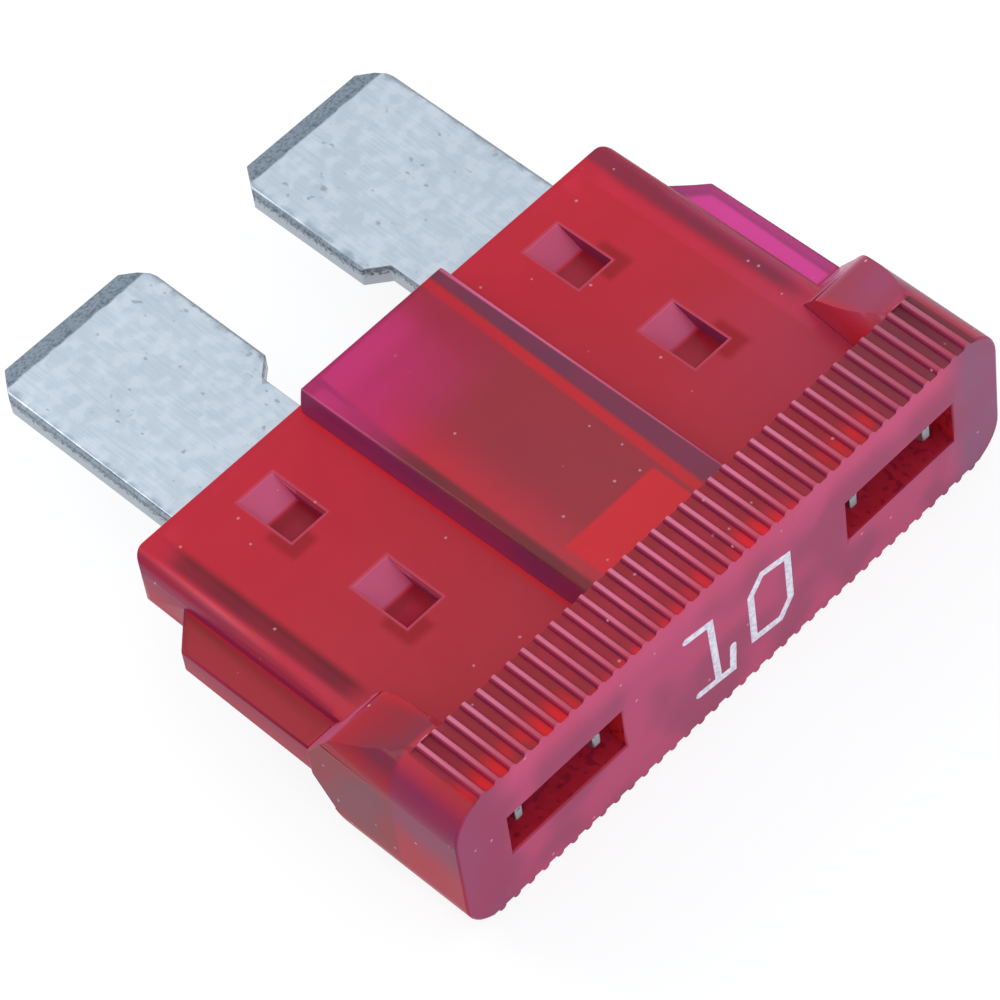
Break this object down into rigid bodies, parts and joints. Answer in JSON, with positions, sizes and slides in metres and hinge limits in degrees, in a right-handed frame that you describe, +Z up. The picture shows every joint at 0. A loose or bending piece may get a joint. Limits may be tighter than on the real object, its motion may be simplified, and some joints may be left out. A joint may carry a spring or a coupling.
{
  "type": "automotive blade fuse",
  "caption": "Standard-size automotive blade fuse: translucent red moulded housing with a ribbed grip head and side fins, on a stamped element with bevelled plug-in blades.",
  "frame": {"origin": "centre of the bounding box's bottom face, under the middle of the fuse as it lies flat", "axes": "+X along the width, +Y from the head's end face towards the blade tips, +Z up through the thickness"},
  "size_m": [0.019, 0.0194, 0.0052],
  "materials": {
    "housing_plastic": "translucent red moulding, satin",
    "element_metal": "bright stamped zinc strip with fine rolling lines",
    "board_laminate": "pale laminate",
    "lamp_ceramic": "pale chip with a clear top",
    "resistor_film": "dark film on a ceramic chip"
  },
  "bodies": {
    "root": {"housing": "housing_plastic", "fuse_element": "element_metal", "indicator_board": "board_laminate", "indicator_lamp": "lamp_ceramic", "indicator_resistor": "resistor_film"}
  },
  "joints": []
}
